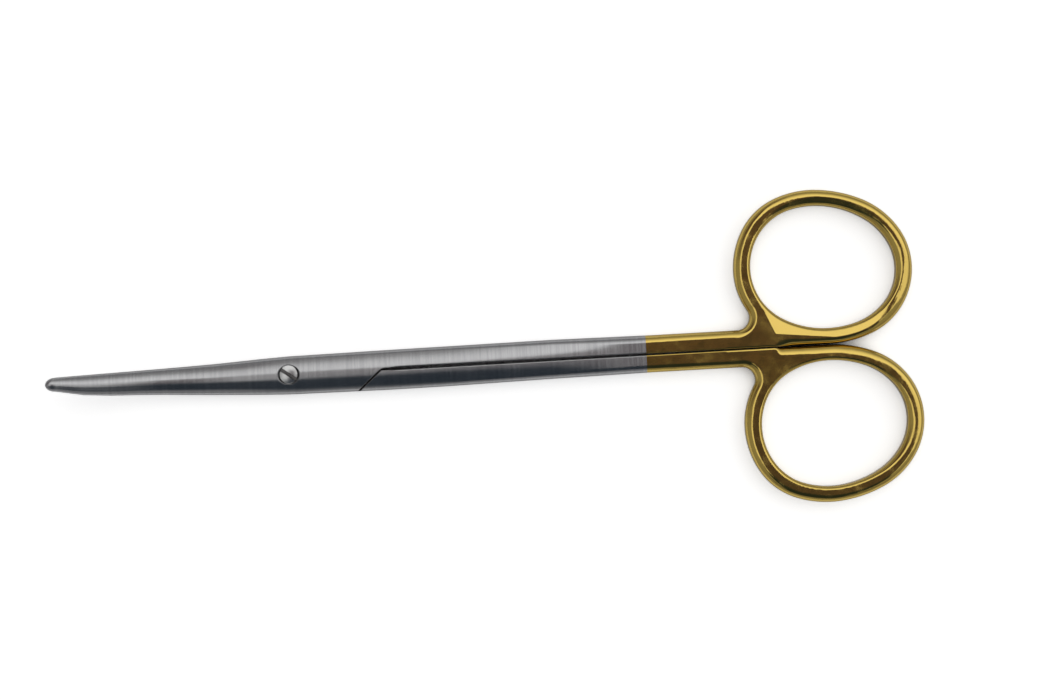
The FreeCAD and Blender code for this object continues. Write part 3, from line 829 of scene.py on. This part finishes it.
def forged_steel_and_gold():
    """Ground steel that is gold plated past one plane across the length."""
    material, tree, steel = new_material("forged_steel_gold_plated")
    ground_steel(tree, steel)
    gold = gold_plating(tree)
    place = node(tree, "ShaderNodeTexCoord")
    split = node(tree, "ShaderNodeSeparateXYZ")
    link(tree, place.outputs["Object"], split.inputs[0])
    plated = math_node(tree, "GREATER_THAN", split.outputs["X"], PLATING_START * MM)
    mix = node(tree, "ShaderNodeMixShader")
    link(tree, plated, mix.inputs[0])
    link(tree, steel.outputs[0], mix.inputs[1])
    link(tree, gold.outputs[0], mix.inputs[2])
    link(tree, mix.outputs[0], tree.nodes["Material Output"].inputs["Surface"])
    return material


def turned_steel():
    material, tree, shader = new_material("turned_steel")
    # Painted shade darkens the screw's colour in its slot and round its head
    crevice_painted_shade(tree, (0.52, 0.52, 0.52), shader, 0.4, 0.95)
    shader.inputs["Metallic"].default_value = 1
    shader.inputs["Roughness"].default_value = 0.22
    return material


def hard_metal():
    material, tree, shader = new_material("ground_hard_metal")
    shader.inputs["Base Color"].default_value = (0.42, 0.425, 0.43, 1)
    shader.inputs["Metallic"].default_value = 1
    grind = stretched_noise(tree, 9000, 3, (1, 0.04, 0.04))
    rough = math_node(tree, "MULTIPLY_ADD", grind, 0.16, 0.28)
    link(tree, rough, shader.inputs["Roughness"])
    return material


half_material = forged_steel_and_gold()
materials = {
    "thumb_half": half_material,
    "finger_half": half_material,
    "thumb_blade_insert": hard_metal(),
    "finger_blade_insert": hard_metal(),
    "pivot_screw": turned_steel(),
}
halves = {
    "thumb_half": (THUMB_RING, 1, "thumb_side"),
    "finger_half": (FINGER_RING, -1, "finger_side"),
}
for name, made in materials.items():
    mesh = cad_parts[name].data
    mesh.materials.clear()
    mesh.materials.append(made)
    if name in halves:
        ring, side, body = halves[name]
        piece = build_half(name, ring, side)
        piece.data.materials.append(made)
        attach(piece, body)
        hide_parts(name)


# Floor, surroundings and camera


FLOOR_SIZE = 8
FLOOR_DROP = 0.00003
# Painted shadow on the floor: its colour
FLOOR_PAINTED_SHADOW = (0.01, 0.01, 0.01)
FLOOR_WHITE = (0.9, 0.9, 0.9)
# Painted shadow on the floor: how far its occlusion looks
PAINTED_SHADOW_REACH = 0.015
SEEN_GLOW = 0.6
MIRRORED_GLOW = 0.25

SOFT_WHITE = (1.30, 1.30, 1.28)
SIDE_WHITE = (1.10, 1.10, 1.08)
BACK_FAR = (0.60, 0.60, 0.59)
OVERHEAD = (0.20, 0.14, 0.145)
OVERHEAD_DIM = (0.06, 0.055, 0.065)
FRONT = (0.028, 0.042, 0.058)
HORIZON = (0.36, 0.36, 0.36)

CAMERA_TURN = -math.atan(0.0561)
CAMERA_HEIGHT = 420
SENSOR_WIDTH = 36
PICTURE_WIDTH = 1050
PIXELS_A_MM = 6.014


def white_floor():
    """A white sheet that glows for camera, glossy and transmission rays, with painted shadow:
    where something stands close over it, ambient occlusion darkens its colour and lessens its
    glow, on top of the real shadow from the surroundings' light.
    """
    material, tree, shader = new_material("white_floor")
    shader.inputs["Roughness"].default_value = 1
    shader.inputs["Specular IOR Level"].default_value = 0
    occlusion = node(tree, "ShaderNodeAmbientOcclusion", samples=8)
    occlusion.inputs["Distance"].default_value = PAINTED_SHADOW_REACH
    open_share = occlusion.outputs["AO"]
    # Painted shadow: the sheet's colour turns dark where something stands close over it, as in the
    # slot between the shanks
    out_of_painted_shadow = smooth_step(tree, open_share, 0.05, 0.3)
    link(tree, mix_color(tree, out_of_painted_shadow, FLOOR_PAINTED_SHADOW, FLOOR_WHITE), shader.inputs["Base Color"])
    path = node(tree, "ShaderNodeLightPath").outputs
    # Painted shadow: the glow seen by the camera fades where something stands close over it
    seen = math_node(tree, "MULTIPLY", path["Is Camera Ray"],
                     smooth_step(tree, open_share, 0.12, 0.55))
    # Painted shadow in reflections: the floor glows in metal and glass only far from anything over
    # it, and more weakly than to the camera
    mirrored = math_node(tree, "MAXIMUM", path["Is Glossy Ray"], path["Is Transmission Ray"])
    mirrored = math_node(tree, "MULTIPLY", mirrored, smooth_step(tree, open_share, 0.96, 1.0))
    glow = math_node(tree, "MAXIMUM", math_node(tree, "MULTIPLY", seen, SEEN_GLOW),
                     math_node(tree, "MULTIPLY", mirrored, MIRRORED_GLOW))
    link(tree, glow, shader.inputs["Emission Strength"])
    shader.inputs["Emission Color"].default_value = (1, 1, 1, 1)
    bpy.ops.mesh.primitive_plane_add(size=FLOOR_SIZE, location=(0.04, 0, -FLOOR_DROP))
    floor = bpy.context.object
    floor.name = "floor"
    floor.data.materials.append(material)


def surroundings():
    """A studio: soft windows behind and to the right of the object, dark overhead and in
    front. Each panel is a window of the direction's slopes to the back and to the right."""
    world = bpy.data.worlds.new("surroundings")
    world.use_nodes = True
    tree = world.node_tree
    ways = node(tree, "ShaderNodeTexCoord").outputs["Generated"]
    turn = CAMERA_TURN

    def along(axis):
        made = node(tree, "ShaderNodeVectorMath", operation="DOT_PRODUCT")
        made.inputs[1].default_value = axis
        link(tree, ways, made.inputs[0])
        return made.outputs["Value"]

    height = along((0, 0, 1))
    up = math_node(tree, "MAXIMUM", height, 0.02)
    to_right = along((math.cos(turn), math.sin(turn), 0))
    to_back = along((-math.sin(turn), math.cos(turn), 0))
    right_slope = math_node(tree, "DIVIDE", to_right, up)
    back_slope = math_node(tree, "DIVIDE", to_back, up)

    patches = node(tree, "ShaderNodeTexNoise")
    patches.inputs["Scale"].default_value = 55
    patches.inputs["Detail"].default_value = 4
    link(tree, ways, patches.inputs["Vector"])
    patched = smooth_step(tree, patches.outputs["Fac"], 0.35, 0.65)
    overhead = mix_color(tree, patched, OVERHEAD_DIM, OVERHEAD)
    color = mix_color(tree, smooth_step(tree, back_slope, 0.05, -0.4), overhead, FRONT)
    far = smooth_step(tree, back_slope, 0.35, 1.5)
    back_shade = mix_color(tree, far, SOFT_WHITE, BACK_FAR)
    # Low, high and soft width of the slope to the back, then of the slope to the right
    panels = [
        ((-1.0, 0.3, 0.1), (0.85, 3.5, 0.06), SIDE_WHITE),
        ((-1.3, -0.35, 0.15), (0.5, 3.5, 0.1), HORIZON),
        ((-0.35, 0.0, 0.06), (0.40, 3.5, 0.04), SIDE_WHITE),
        ((-0.05, 0.3, 0.03), (0.22, 3.5, 0.04), SIDE_WHITE),
        ((-1.2, 0.3, 0.3), (-40, -0.45, 0.03), HORIZON),
        ((-0.3, 0.3, 0.1), (-0.45, -0.12, 0.03), SIDE_WHITE),
        ((0.2, 40, 0.04), (-0.4, 40, 0.1), back_shade),
    ]
    for back, right, shade in panels:
        share = math_node(tree, "MULTIPLY", window(tree, back_slope, *back),
                          window(tree, right_slope, *right))
        color = mix_color(tree, share, color, shade)
    color = mix_color(tree, smooth_step(tree, height, 0.60, 0.30), color, HORIZON)
    link(tree, color, tree.nodes["Background"].inputs["Color"])
    scene.world = world


def overhead_camera():
    """A camera straight above, at the photo's scale at the height of the joint."""
    data = bpy.data.cameras.new("camera")
    camera = bpy.data.objects.new("camera", data)
    scene.collection.objects.link(camera)
    camera.location = (39.31 * MM, 1.85 * MM, CAMERA_HEIGHT * MM)
    camera.rotation_euler = (0, 0, CAMERA_TURN)
    data.sensor_width = SENSOR_WIDTH
    data.lens = PIXELS_A_MM * (CAMERA_HEIGHT - MID_HEIGHT) * SENSOR_WIDTH / PICTURE_WIDTH
    data.clip_start = 0.01
    scene.camera = camera


white_floor()
surroundings()
overhead_camera()

scene.view_settings.view_transform = "Standard"
